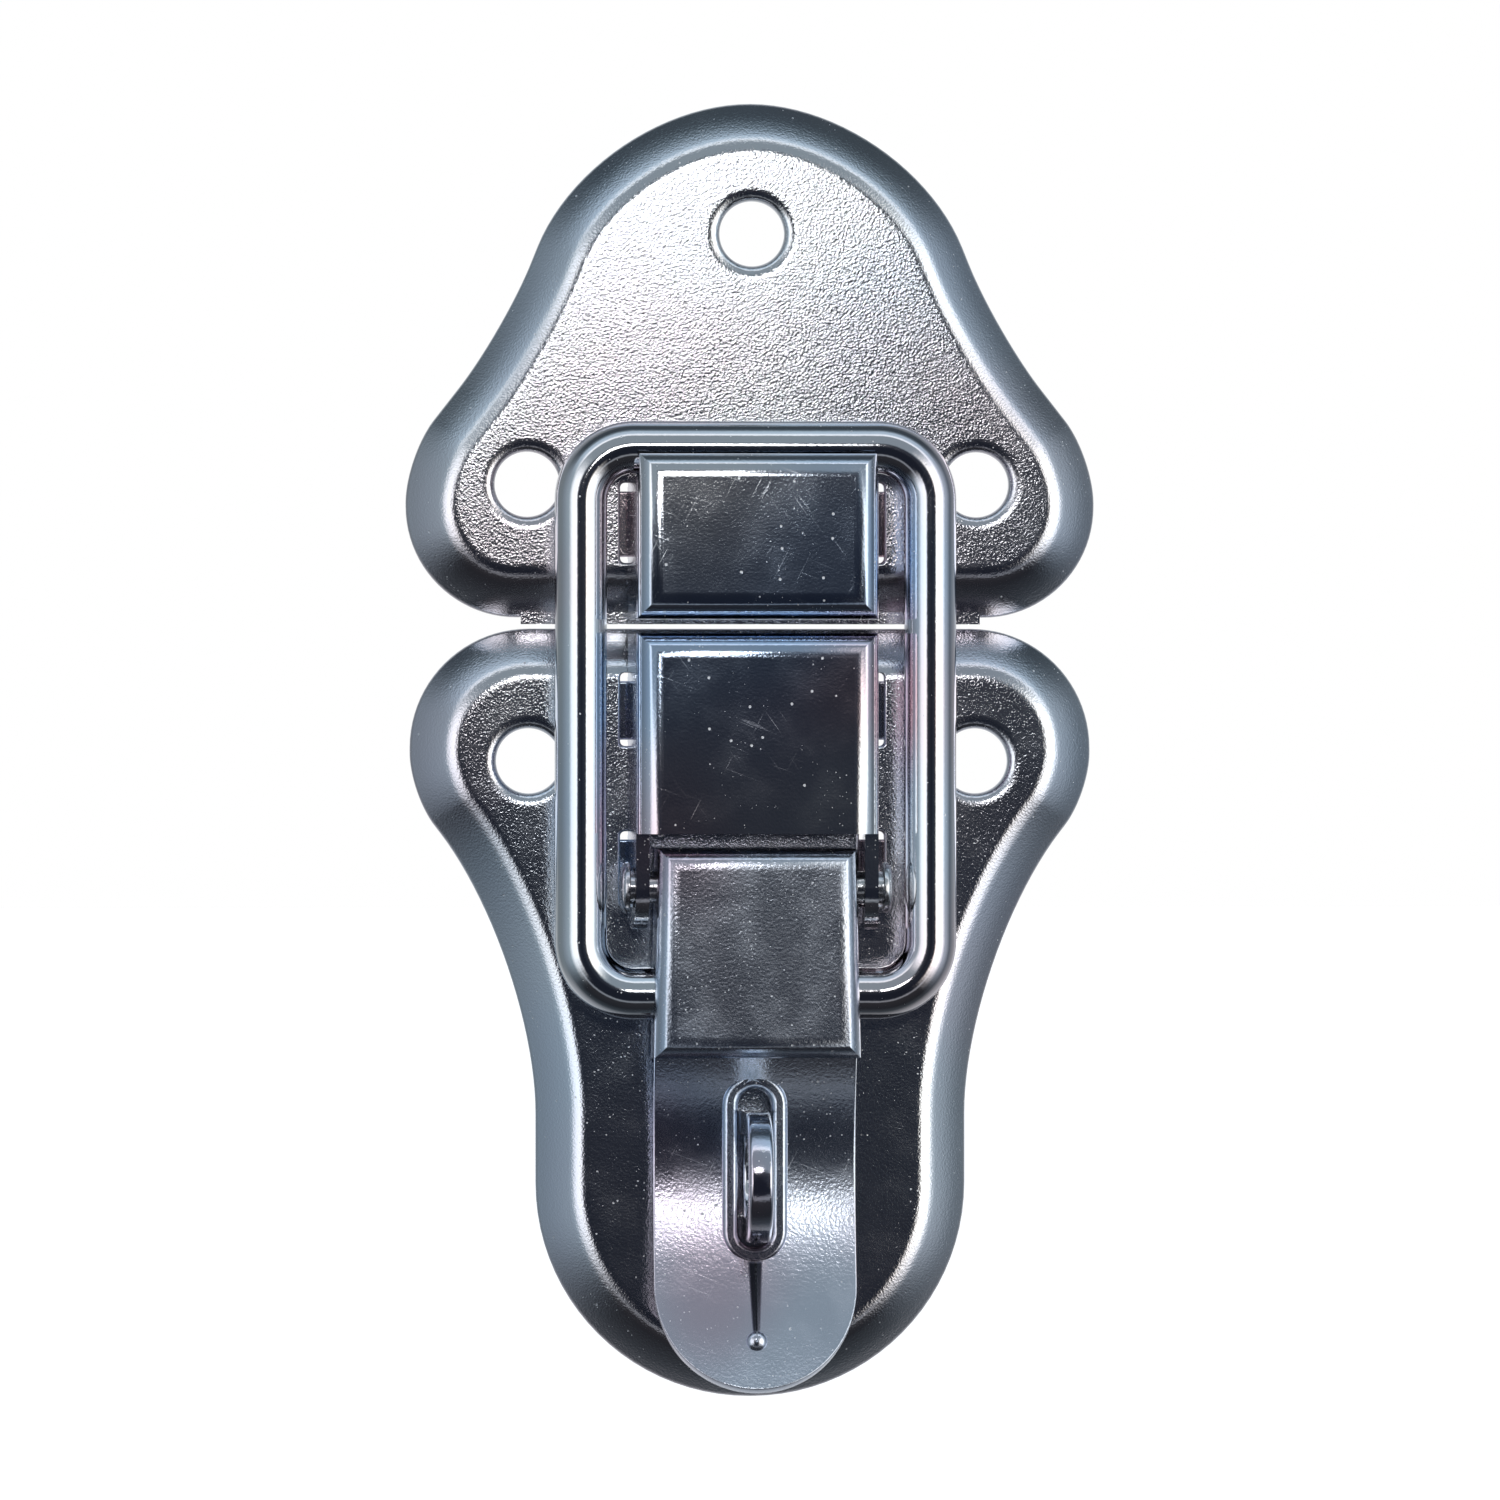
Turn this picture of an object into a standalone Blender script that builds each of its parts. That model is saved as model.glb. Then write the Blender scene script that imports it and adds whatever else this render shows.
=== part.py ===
"""A chrome-plated toggle draw latch: a duck-bill lever, a wire bail, a keeper and a padlock eye.

+X is to the right and +Z is up. The latch is screwed to a case at the plane y = 0 and its front faces -Y,
so a depth below is a distance out from the case, and a point at depth d has y = -d. The keeper is the upper
half and sits on the lid, the base is the lower half and sits on the box. The lever turns on the pivot pin,
carries the bail's lower bar past the pin, and so draws the keeper down or lets it go.
"""

import math

import bmesh
import bpy
from mathutils import Vector

MM = 0.001

# Sheet, wire and the gap that neighbouring pieces keep
SHEET = 1.0 * MM
GAP = 0.3 * MM
WIRE_RADIUS = 1.925 * MM
ARC_STEP = math.radians(11.0)

# A small step that keeps two faces out of one plane, and the shortest edge of an outline
FACE_STEP = 0.04 * MM
SHORTEST_EDGE = 0.01 * MM

# Depths from the case
PLATE_FRONT = 2.8 * MM
BOX_FRONT = 10.8 * MM
LEVER_FRONT = 10.4 * MM
PIVOT_DEPTH = 7.4 * MM
LOWER_BAR_DEPTH = 6.8 * MM
UPPER_BAR_DEPTH = 6.9 * MM

# Heights
BASE_TOP = 0.575 * MM
BASE_BOTTOM = -56.2 * MM
KEEPER_BOTTOM = 1.4 * MM
KEEPER_TOP = 39.4 * MM
PIVOT_Z = -18.5 * MM
LOWER_BAR_Z = -26.3 * MM
UPPER_BAR_Z = 13.85 * MM

# Plate outlines: half widths and corner radii
BASE_LOBE = 25.2 * MM
BASE_LOBE_RADIUS = 8.8 * MM
BASE_WAIST = 15.9 * MM
BASE_WAIST_RADIUS = 34.0 * MM
BASE_WAIST_Z = -23.7 * MM
BASE_LOBE_CORNER_Z = -11.6 * MM
KEEPER_LOBE = 25.5 * MM
KEEPER_LOBE_RADIUS = 8.2 * MM
KEEPER_SHOULDER_RADIUS = 10.0 * MM
KEEPER_SHOULDER_Z = 13.3 * MM
KEEPER_DOME = 17.0 * MM
KEEPER_DOME_ANGLE = math.radians(22.0)
KEEPER_SLOPE_ANGLE = math.radians(38.0)
KEEPER_NECK_RADIUS = 38.0 * MM

# Pressed rim of both plates: how far in the slope runs, its foot and its bends
RIM_RUN = 3.0 * MM
RIM_LAND = 0.35 * MM
RIM_FOOT = 1.15 * MM
RIM_BEND = 0.45 * MM
TRIM_LIP_HALF = 17.0 * MM
TRIM_LIP_BOTTOM = 0.9 * MM
TRIM_LIP_DEPTHS = (0.05 * MM, 0.7 * MM)
TRIM_LIP_LAP = 0.5 * MM

# Screw holes
SCREW_RADIUS = 2.4 * MM
BASE_SCREW = (16.5 * MM, -9.2 * MM)
KEEPER_SCREW = (16.6 * MM, 11.2 * MM)
KEEPER_TOP_SCREW_Z = 29.7 * MM

# Pressed boxes: half widths at the front and at the plate, and the bend along their edges
BOX_HALF_FRONT = 8.9 * MM
BOX_HALF_BACK = 9.2 * MM
BOX_BEND = 1.5 * MM
HOOK_TOP = 13.5 * MM
HOOK_BOTTOM = 1.2 * MM
BRACKET_TOP = 0.2 * MM
BRACKET_EDGE_Z = -14.55 * MM
EAR_RADIUS = 3.1 * MM

# Tabs that are staked behind the plates: (lowest, highest) of each slot
SLOT_INNER = 7.9 * MM
SLOT_OUTER = 9.75 * MM
HOOK_SLOTS = [(5.4 * MM, 11.3 * MM)]
BRACKET_SLOTS = [(-8.1 * MM, -2.7 * MM), (-19.8 * MM, -14.4 * MM)]
STAKE_LAP = 0.45 * MM
STAKE_BACK = 0.6 * MM

# Lever
LEVER_TOP = -15.65 * MM
LEVER_STEP_Z = -31.0 * MM
LEVER_HALF_TOP = 7.3 * MM
LEVER_HALF_STEP = 7.6 * MM
LEVER_WALL_BACK = 4.2 * MM
STEP_BEND = 0.9 * MM
TONGUE_HALF = 7.45 * MM
TONGUE_END_Z = -55.2 * MM
TONGUE_ROOT = 6.9 * MM
TONGUE_LOW = 5.2 * MM
TONGUE_LOW_Z = -39.0 * MM
TONGUE_TIP = 9.6 * MM
TONGUE_CURL = 1.7
TONGUE_STEPS = 18
SLOT_HALF = 1.25 * MM
SLOT_TOP_Z = -33.3 * MM
SLOT_BOTTOM_Z = -45.0 * MM
COLLAR_WIDTH = 1.15 * MM
COLLAR_FRONT = 6.3 * MM
BEAD_TOP_Z = -46.6 * MM
BEAD_BOTTOM_Z = -52.6 * MM
BEAD_HALF = 1.3 * MM
BEAD_RISE = 0.6 * MM

# Pivot pin
PIN_RADIUS = 1.2 * MM
PIN_HEAD_RADIUS = 1.85 * MM
PIN_HEAD_INNER = 9.3 * MM
PIN_HEAD_OUTER = 10.1 * MM
PIN_DOME = 0.35 * MM

# Bail
BAIL_HALF = 12.85 * MM
BAIL_BEND = 3.9 * MM
WIRE_SIDES = 16

# A cut along X that passes through everything
THROUGH = (-2 * BAIL_HALF, 2 * BAIL_HALF)

# Padlock eye
EYE_HALF_THICKNESS = 0.9 * MM
EYE_Z = -39.7 * MM
EYE_RADIUS = 4.8 * MM
EYE_FRONT = 14.4 * MM
EYE_HOLE_RADIUS = 3.0 * MM
EYE_HOLE_STRETCH = 1.0 * MM
EYE_TENON_HALF = 2.6 * MM


def clear_scene():
    for item in list(bpy.data.objects):
        bpy.data.objects.remove(item, do_unlink=True)


def plated_material(name, colour, roughness):
    material = bpy.data.materials.new(name)
    material.use_nodes = True
    shader = material.node_tree.nodes["Principled BSDF"]
    shader.inputs["Base Color"].default_value = (*colour, 1.0)
    shader.inputs["Metallic"].default_value = 1.0
    shader.inputs["Roughness"].default_value = roughness
    return material


def new_object(name, mesh):
    item = bpy.data.objects.new(name, mesh)
    bpy.context.scene.collection.objects.link(item)
    return item


# ---- Points and outlines ----


def at(x, depth, z):
    return Vector((x, -depth, z))


def arc(centre, radius, start, end):
    """Points on an arc, both ends included."""
    steps = max(1, math.ceil(abs(end - start) / ARC_STEP))
    points = []
    for i in range(steps + 1):
        angle = start + (end - start) * i / steps
        points.append(Vector((centre[0] + radius * math.cos(angle), centre[1] + radius * math.sin(angle))))
    return points


def rounded(corners, inset=0.0):
    """The anticlockwise outline through (x, z, radius) corners, each rounded by an arc, moved in by inset."""
    outline = []
    for i, (x, z, radius) in enumerate(corners):
        corner = Vector((x, z))
        back = (Vector(corners[i - 1][:2]) - corner).normalized()
        ahead = (Vector(corners[(i + 1) % len(corners)][:2]) - corner).normalized()
        if radius == 0.0:
            outline.append(corner)
            continue
        half_angle = back.angle(ahead) / 2
        centre = corner + (back + ahead).normalized() * radius / math.sin(half_angle)
        start = corner + back * radius / math.tan(half_angle) - centre
        end = corner + ahead * radius / math.tan(half_angle) - centre
        first = math.atan2(start.y, start.x)
        turn = math.remainder(math.atan2(end.y, end.x) - first, 2 * math.pi)
        outline.extend(arc(centre, radius - math.copysign(inset, turn), first, first + turn))
    return [point for i, point in enumerate(outline) if (point - outline[i - 1]).length > SHORTEST_EDGE]


def mirrored(half):
    """Corners of a whole outline from those of its right half, listed upwards."""
    return half + [(-x, z, radius) for x, z, radius in reversed(half)]


# ---- Solids ----


def join_loops(shape, lower, upper):
    for i in range(len(lower)):
        j = (i + 1) % len(lower)
        shape.faces.new((lower[i], lower[j], upper[j], upper[i]))


def object_from(shape, name):
    """A new object from a closed bmesh, its faces turned outwards."""
    if shape.calc_volume(signed=True) < 0:
        bmesh.ops.reverse_faces(shape, faces=shape.faces)
    mesh = bpy.data.meshes.new(name)
    shape.to_mesh(mesh)
    shape.free()
    return new_object(name, mesh)


def solid_from_rings(name, rings):
    """A closed body through rings of equal length, the first and the last ring capped."""
    shape = bmesh.new()
    loops = [[shape.verts.new(point) for point in ring] for ring in rings]
    for lower, upper in zip(loops, loops[1:]):
        join_loops(shape, lower, upper)
    shape.faces.new(loops[0][::-1])
    shape.faces.new(loops[-1])
    return object_from(shape, name)


def block(name, x_range, depth_range, z_range):
    rings = []
    for depth in depth_range:
        corners = [(x_range[0], z_range[0]), (x_range[1], z_range[0])]
        corners += [(x_range[1], z_range[1]), (x_range[0], z_range[1])]
        rings.append([at(x, depth, z) for x, z in corners])
    return solid_from_rings(name, rings)


def front_prism(name, outline, depth_range):
    """A prism along Y with an (x, z) outline."""
    return solid_from_rings(name, [[at(x, depth, z) for x, z in outline] for depth in depth_range])


def side_prism(name, outline, x_range):
    """A prism along X with a (z, depth) outline."""
    return solid_from_rings(name, [[at(x, depth, z) for z, depth in outline] for x in x_range])


def circle(centre, radius):
    return arc(centre, radius, 0.0, 2 * math.pi)[:-1]


def combine(target, tool, operation):
    """Cut the tool out of the target or join it to the target. The tool is used up."""
    modifier = target.modifiers.new("combine", "BOOLEAN")
    modifier.operation = operation
    modifier.solver = "EXACT"
    modifier.object = tool
    evaluated = target.evaluated_get(bpy.context.evaluated_depsgraph_get())
    mesh = bpy.data.meshes.new_from_object(evaluated)
    mesh.name = target.name
    target.modifiers.clear()
    target.data = mesh
    bpy.data.objects.remove(tool, do_unlink=True)


def cut(target, tool):
    combine(target, tool, "DIFFERENCE")


def join(target, tool):
    combine(target, tool, "UNION")


def finish(item, material, parent=None, axis_point=None):
    """Give the piece its finish and, if it moves, put its origin on its joint's axis."""
    item.data.materials.clear()
    item.data.materials.append(material)
    item.data.shade_smooth()
    item.data.set_sharp_from_angle(angle=math.radians(30.0))
    if axis_point is not None:
        item.data.transform(item.matrix_world.Translation(-axis_point))
        item.location = axis_point
    if parent is not None:
        item.parent = parent
        item.location = item.location - parent.location


# ---- Plates ----


def pressed_plate(name, corners):
    """A flat plate with a sloped rim that stands on the case all round, hollow behind."""
    slope_rise = PLATE_FRONT - RIM_LAND
    slope = math.atan2(slope_rise, RIM_RUN)
    run_to_back = SHEET * math.tan(slope / 2)
    plate_back = PLATE_FRONT - SHEET
    profile = [
        (RIM_RUN + RIM_BEND, PLATE_FRONT),
        (RIM_RUN, PLATE_FRONT - 0.25 * RIM_BEND),
        (RIM_RUN - RIM_BEND, PLATE_FRONT - RIM_BEND),
        (0.0, RIM_LAND),
        (0.0, 0.0),
        (RIM_FOOT, 0.0),
        (RIM_RUN + run_to_back - RIM_BEND * math.cos(slope), plate_back - RIM_BEND * math.sin(slope)),
        (RIM_RUN + run_to_back + RIM_BEND, plate_back),
    ]
    rings = [[at(x, depth, z) for x, z in rounded(corners, inset)] for inset, depth in profile]
    return solid_from_rings(name, rings)


def drill_screw_hole(plate, x, z):
    cut(plate, front_prism("drill", circle((x, z), SCREW_RADIUS), (-GAP, PLATE_FRONT + GAP)))


def cut_tab_slots(plate, slots):
    for low, high in slots:
        for side in (-1, 1):
            x_range = sorted((side * SLOT_INNER, side * SLOT_OUTER))
            cut(plate, block("slot", x_range, (-GAP, PLATE_FRONT + GAP), (low, high)))


def base_corners():
    right_half = [
        (BASE_WAIST, BASE_BOTTOM, BASE_WAIST - FACE_STEP),
        (BASE_WAIST, BASE_WAIST_Z, BASE_WAIST_RADIUS),
        (BASE_LOBE, BASE_LOBE_CORNER_Z, BASE_LOBE_RADIUS),
        (BASE_LOBE, BASE_TOP, BASE_LOBE_RADIUS),
    ]
    return mirrored(right_half)


def keeper_corners():
    """Corners where the tangents of the lobe, the neck and the dome meet."""
    dome_centre = KEEPER_TOP - KEEPER_DOME
    neck_normal = Vector((math.cos(KEEPER_DOME_ANGLE), math.sin(KEEPER_DOME_ANGLE)))
    neck_line = KEEPER_DOME + neck_normal.y * dome_centre
    dome_corner_x = (neck_line - neck_normal.y * KEEPER_TOP) / neck_normal.x
    slope = math.tan(KEEPER_SLOPE_ANGLE)
    # x = KEEPER_LOBE - slope * (z - KEEPER_SHOULDER_Z) meets neck_normal . (x, z) = neck_line
    run = neck_line - neck_normal.x * (KEEPER_LOBE + slope * KEEPER_SHOULDER_Z)
    neck_z = run / (neck_normal.y - neck_normal.x * slope)
    neck_x = KEEPER_LOBE - slope * (neck_z - KEEPER_SHOULDER_Z)
    right_half = [
        (KEEPER_LOBE, KEEPER_BOTTOM, KEEPER_LOBE_RADIUS),
        (KEEPER_LOBE, KEEPER_SHOULDER_Z, KEEPER_SHOULDER_RADIUS),
        (neck_x, neck_z, KEEPER_NECK_RADIUS),
        (dome_corner_x, KEEPER_TOP, KEEPER_DOME),
    ]
    return mirrored(right_half)


def make_base_plate():
    plate = pressed_plate("base_plate", base_corners())
    for side in (-1, 1):
        drill_screw_hole(plate, side * BASE_SCREW[0], BASE_SCREW[1])
    cut_tab_slots(plate, BRACKET_SLOTS)
    tenon_slot = (EYE_Z - EYE_TENON_HALF - GAP, EYE_Z + EYE_TENON_HALF + GAP)
    slot_half = EYE_HALF_THICKNESS + GAP
    cut(plate, block("slot", (-slot_half, slot_half), (-GAP, PLATE_FRONT + GAP), tenon_slot))
    return plate


def make_keeper_plate():
    plate = pressed_plate("keeper_plate", keeper_corners())
    lip_z = (TRIM_LIP_BOTTOM, KEEPER_BOTTOM + TRIM_LIP_LAP)
    join(plate, block("lip", (-TRIM_LIP_HALF, TRIM_LIP_HALF), TRIM_LIP_DEPTHS, lip_z))
    drill_screw_hole(plate, 0.0, KEEPER_TOP_SCREW_Z)
    for side in (-1, 1):
        drill_screw_hole(plate, side * KEEPER_SCREW[0], KEEPER_SCREW[1])
    cut_tab_slots(plate, HOOK_SLOTS)
    return plate


# ---- Pressed boxes ----


def tray_ring(top, bottom, half_top, half_bottom, insets, depth):
    """One rectangular ring of a box, moved in by insets = (side, top, bottom)."""
    side, from_top, from_bottom = insets
    return [
        at(-half_bottom + side, depth, bottom + from_bottom),
        at(half_bottom - side, depth, bottom + from_bottom),
        at(half_top - side, depth, top - from_top),
        at(-half_top + side, depth, top - from_top),
    ]


def tray(name, top, bottom, half_top, half_bottom, front, back, flare, bottom_bend):
    """A pressed box, open behind: square corners, bends of BOX_BEND along its front edges."""
    bend_steps = 5
    outside, inside = [], []
    for i in range(bend_steps + 1):
        angle = math.pi / 2 * i / bend_steps
        reach = 1 - math.sin(angle)
        drop = 1 - math.cos(angle)
        insets = (BOX_BEND * reach, BOX_BEND * reach, bottom_bend * reach)
        outside.append(tray_ring(top, bottom, half_top, half_bottom, insets, front - BOX_BEND * drop))
        inner_bend = BOX_BEND - SHEET
        inner_bottom = SHEET + max(bottom_bend - SHEET, FACE_STEP) * reach
        inner_insets = (SHEET + inner_bend * reach, SHEET + inner_bend * reach, inner_bottom)
        inside.append(
            tray_ring(top, bottom, half_top, half_bottom, inner_insets, front - SHEET - inner_bend * drop)
        )
    outside.append(tray_ring(top, bottom, half_top, half_bottom, (-flare, 0.0, 0.0), back))
    inside.append(tray_ring(top, bottom, half_top, half_bottom, (SHEET - flare, SHEET, SHEET), back))
    return solid_from_rings(name, outside + inside[::-1])


def add_staked_tabs(box, slots):
    """Tabs through the plate's slots, spread behind the plate."""
    wall_inner = BOX_HALF_BACK - SHEET
    for low, high in slots:
        for side in (-1, 1):
            tab_x = sorted((side * (wall_inner + FACE_STEP), side * (BOX_HALF_BACK - FACE_STEP)))
            tab_z = (low + GAP, high - GAP)
            head_x = sorted((side * (SLOT_INNER - STAKE_LAP), side * (SLOT_OUTER + STAKE_LAP)))
            head_z = (low + 1.5 * GAP, high - 2 * GAP)
            head_front = PLATE_FRONT - SHEET - GAP
            join(box, block("tab", tab_x, (head_front - FACE_STEP, PLATE_FRONT + SHEET), tab_z))
            join(box, block("stake", head_x, (STAKE_BACK, head_front), head_z))


def make_keeper_hook():
    flare = BOX_HALF_BACK - BOX_HALF_FRONT
    sizes = (HOOK_TOP, HOOK_BOTTOM, BOX_HALF_FRONT, BOX_HALF_FRONT, BOX_FRONT, PLATE_FRONT + GAP)
    hook = tray("keeper_hook", *sizes, flare, BOX_BEND)
    seat_z = UPPER_BAR_Z - WIRE_RADIUS - GAP
    notch = block("notch", THROUGH, (0.0, BOX_FRONT - SHEET), (seat_z, KEEPER_TOP))
    cut(hook, notch)
    add_staked_tabs(hook, HOOK_SLOTS)
    return hook


def make_lever_bracket():
    flare = BOX_HALF_BACK - BOX_HALF_FRONT
    long_bottom = PIVOT_Z - 4 * EAR_RADIUS
    sizes = (BRACKET_TOP, long_bottom, BOX_HALF_FRONT, BOX_HALF_FRONT, BOX_FRONT, PLATE_FRONT + GAP)
    bracket = tray("lever_bracket", *sizes, flare, BOX_BEND)
    ear_front = BOX_FRONT - BOX_BEND
    far = 3 * BOX_FRONT
    waste = [Vector((BRACKET_EDGE_Z, far)), Vector((BRACKET_EDGE_Z, ear_front))]
    waste += arc((PIVOT_Z, ear_front - EAR_RADIUS), EAR_RADIUS, math.pi / 2, math.pi)
    waste += [Vector((PIVOT_Z - 0.6 * EAR_RADIUS, 0.0)), Vector((3 * long_bottom, 0.0))]
    waste.append(Vector((3 * long_bottom, far)))
    cut(bracket, side_prism("waste", waste, THROUGH))
    pin_hole = circle((PIVOT_Z, PIVOT_DEPTH), PIN_RADIUS + GAP)
    cut(bracket, side_prism("drill", pin_hole, THROUGH))
    add_staked_tabs(bracket, BRACKET_SLOTS)
    return bracket


# ---- Lever ----


def tongue_depth(z):
    """Front of the tongue: it falls from the step to its lowest line, then curls out to the tip."""
    if z > TONGUE_LOW_Z:
        share = (z - TONGUE_LOW_Z) / (LEVER_STEP_Z - TONGUE_LOW_Z)
        return TONGUE_LOW + (TONGUE_ROOT - TONGUE_LOW) * share**2
    share = (TONGUE_LOW_Z - z) / (TONGUE_LOW_Z - TONGUE_END_Z)
    return TONGUE_LOW + (TONGUE_TIP - TONGUE_LOW) * share**TONGUE_CURL


def make_tongue():
    """The tongue as a bent strip, cut to its round end."""
    start = LEVER_STEP_Z + 0.7 * SHEET
    end = TONGUE_END_Z - SHEET
    levels = [start + (end - start) * i / TONGUE_STEPS for i in range(TONGUE_STEPS + 1)]
    front = [Vector((z, tongue_depth(z))) for z in levels]
    back = [Vector((z, tongue_depth(z) - SHEET)) for z in reversed(levels)]
    tongue = side_prism("tongue", front + back, (-TONGUE_HALF, TONGUE_HALF))
    corners = [(TONGUE_HALF, TONGUE_END_Z, TONGUE_HALF - FACE_STEP), (TONGUE_HALF, 0.0, 0.0)]
    blank = front_prism("blank", rounded(mirrored(corners)), (0.0, 2 * BOX_FRONT))
    combine(tongue, blank, "INTERSECT")
    return tongue


def stadium(half_width, top, bottom):
    """An upright slot's outline with round ends."""
    upper = arc((0.0, top - half_width), half_width, 0.0, math.pi)
    lower = arc((0.0, bottom + half_width), half_width, math.pi, 2 * math.pi)
    return upper + lower


def add_collared_slot(tongue):
    collar_half = SLOT_HALF + COLLAR_WIDTH
    collar = stadium(collar_half, SLOT_TOP_Z + COLLAR_WIDTH, SLOT_BOTTOM_Z - COLLAR_WIDTH)
    join(tongue, front_prism("collar", collar, (TONGUE_LOW - 0.5 * SHEET, COLLAR_FRONT)))
    slot = stadium(SLOT_HALF, SLOT_TOP_Z, SLOT_BOTTOM_Z)
    cut(tongue, front_prism("slot", slot, (0.0, 2 * BOX_FRONT)))


def add_bead(tongue):
    """A short stiffening bead between the slot and the tip, wider at its top."""
    levels = 8
    rings = []
    for i in range(levels + 1):
        share = i / levels
        z = BEAD_TOP_Z + (BEAD_BOTTOM_Z - BEAD_TOP_Z) * share
        size = math.sqrt(max(1 - (2 * share - 1) ** 2, 0.04)) * (1.1 - 0.35 * share)
        ring = []
        for point in arc((0.0, 0.0), 1.0, 0.0, math.pi):
            ring.append(at(BEAD_HALF * size * point.x, tongue_depth(z) + BEAD_RISE * size * point.y, z))
        ring.append(at(-BEAD_HALF * size, tongue_depth(z) - 0.5 * SHEET, z))
        ring.append(at(BEAD_HALF * size, tongue_depth(z) - 0.5 * SHEET, z))
        rings.append(ring)
    join(tongue, solid_from_rings("bead", rings))


def make_lever():
    sizes = (LEVER_TOP, LEVER_STEP_Z, LEVER_HALF_TOP, LEVER_HALF_STEP, LEVER_FRONT, LEVER_WALL_BACK)
    lever = tray("lever", *sizes, 0.0, STEP_BEND)
    below_step = (LEVER_STEP_Z - SHEET, LEVER_STEP_Z + 1.5 * SHEET)
    inner_half = LEVER_HALF_TOP - SHEET
    under_tongue = (0.0, TONGUE_ROOT - 0.8 * SHEET)
    cut(lever, block("waste", (-inner_half, inner_half), under_tongue, below_step))
    tongue = make_tongue()
    add_collared_slot(tongue)
    add_bead(tongue)
    join(lever, tongue)
    cut(lever, side_prism("drill", circle((PIVOT_Z, PIVOT_DEPTH), PIN_RADIUS + GAP), THROUGH))
    cut(lever, side_prism("drill", circle((LOWER_BAR_Z, LOWER_BAR_DEPTH), WIRE_RADIUS + GAP), THROUGH))
    return lever


# ---- Pin, bail and eye ----


def make_pivot_pin():
    """A pin with a domed riveted head at each end, turned about its own axis."""
    half_profile = [
        (PIN_HEAD_OUTER, 0.55 * PIN_HEAD_RADIUS),
        (PIN_HEAD_OUTER - PIN_DOME, 0.92 * PIN_HEAD_RADIUS),
        (PIN_HEAD_OUTER - 1.5 * PIN_DOME, PIN_HEAD_RADIUS),
        (PIN_HEAD_INNER, PIN_HEAD_RADIUS),
        (PIN_HEAD_INNER, PIN_RADIUS),
    ]
    profile = half_profile + [(-x, radius) for x, radius in reversed(half_profile)]
    rings = []
    for x, radius in profile:
        rings.append([at(x, depth, z) for z, depth in circle((PIVOT_Z, PIVOT_DEPTH), radius)])
    return solid_from_rings("lever_pivot_pin", rings)


def make_bail():
    """A closed loop of round wire, swept along a rounded rectangle that leans by the bars' depths."""
    corners = [
        (BAIL_HALF, LOWER_BAR_Z, BAIL_BEND),
        (BAIL_HALF, UPPER_BAR_Z, BAIL_BEND),
        (-BAIL_HALF, UPPER_BAR_Z, BAIL_BEND),
        (-BAIL_HALF, LOWER_BAR_Z, BAIL_BEND),
    ]
    path = rounded(corners)
    lean = (UPPER_BAR_DEPTH - LOWER_BAR_DEPTH) / (UPPER_BAR_Z - LOWER_BAR_Z)
    inner = rounded(corners, WIRE_RADIUS)
    shape = bmesh.new()
    loops = []
    for point, inner_point in zip(path, inner):
        inward = (inner_point - point).normalized()
        depth = LOWER_BAR_DEPTH + lean * (point.y - LOWER_BAR_Z)
        loop = []
        for i in range(WIRE_SIDES):
            angle = 2 * math.pi * i / WIRE_SIDES
            across = point + inward * WIRE_RADIUS * math.cos(angle)
            loop.append(shape.verts.new(at(across.x, depth + WIRE_RADIUS * math.sin(angle), across.y)))
        loops.append(loop)
    for k, loop in enumerate(loops):
        join_loops(shape, loop, loops[(k + 1) % len(loops)])
    return object_from(shape, "bail")


def make_padlock_eye():
    """A flat eye that stands up from the base plate, with a tenon staked behind the plate."""
    centre_depth = EYE_FRONT - EYE_RADIUS
    foot = PLATE_FRONT + GAP
    outline = arc((EYE_Z, centre_depth), EYE_RADIUS, 0.0, math.pi)
    outline += [Vector((EYE_Z - EYE_RADIUS, foot)), Vector((EYE_Z + EYE_RADIUS, foot))]
    thickness = (-EYE_HALF_THICKNESS, EYE_HALF_THICKNESS)
    eye = side_prism("padlock_eye", outline, thickness)
    upper = arc((EYE_Z, centre_depth), EYE_HOLE_RADIUS, 0.0, math.pi)
    lower = arc((EYE_Z, centre_depth - EYE_HOLE_STRETCH), EYE_HOLE_RADIUS, math.pi, 2 * math.pi)
    cut(eye, side_prism("hole", upper + lower, THROUGH))
    head_front = PLATE_FRONT - SHEET - GAP
    tenon_x = (-EYE_HALF_THICKNESS + FACE_STEP, EYE_HALF_THICKNESS - FACE_STEP)
    tenon_z = (EYE_Z - EYE_TENON_HALF, EYE_Z + EYE_TENON_HALF)
    join(eye, block("tenon", tenon_x, (head_front - FACE_STEP, foot + SHEET), tenon_z))
    head_half = EYE_HALF_THICKNESS + GAP + STAKE_LAP
    head_z = (tenon_z[0] - GAP - STAKE_LAP, tenon_z[1] + GAP + STAKE_LAP)
    join(eye, block("stake", (-head_half, head_half), (STAKE_BACK, head_front), head_z))
    return eye


def build():
    clear_scene()
    pebbled = plated_material("pebbled_chrome", (0.62, 0.64, 0.67), 0.22)
    bright = plated_material("bright_chrome", (0.72, 0.74, 0.77), 0.08)
    wire = plated_material("wire_chrome", (0.70, 0.71, 0.73), 0.10)
    pin_finish = plated_material("rivet_chrome", (0.60, 0.61, 0.63), 0.25)

    finish(make_base_plate(), pebbled)
    finish(make_lever_bracket(), bright)
    finish(make_padlock_eye(), bright)
    finish(make_pivot_pin(), pin_finish)
    finish(make_keeper_plate(), pebbled)
    finish(make_keeper_hook(), bright)
    lever = make_lever()
    finish(lever, bright, axis_point=at(0.0, PIVOT_DEPTH, PIVOT_Z))
    finish(make_bail(), wire, parent=lever, axis_point=at(0.0, LOWER_BAR_DEPTH, LOWER_BAR_Z))


build()
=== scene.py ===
import math

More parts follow.
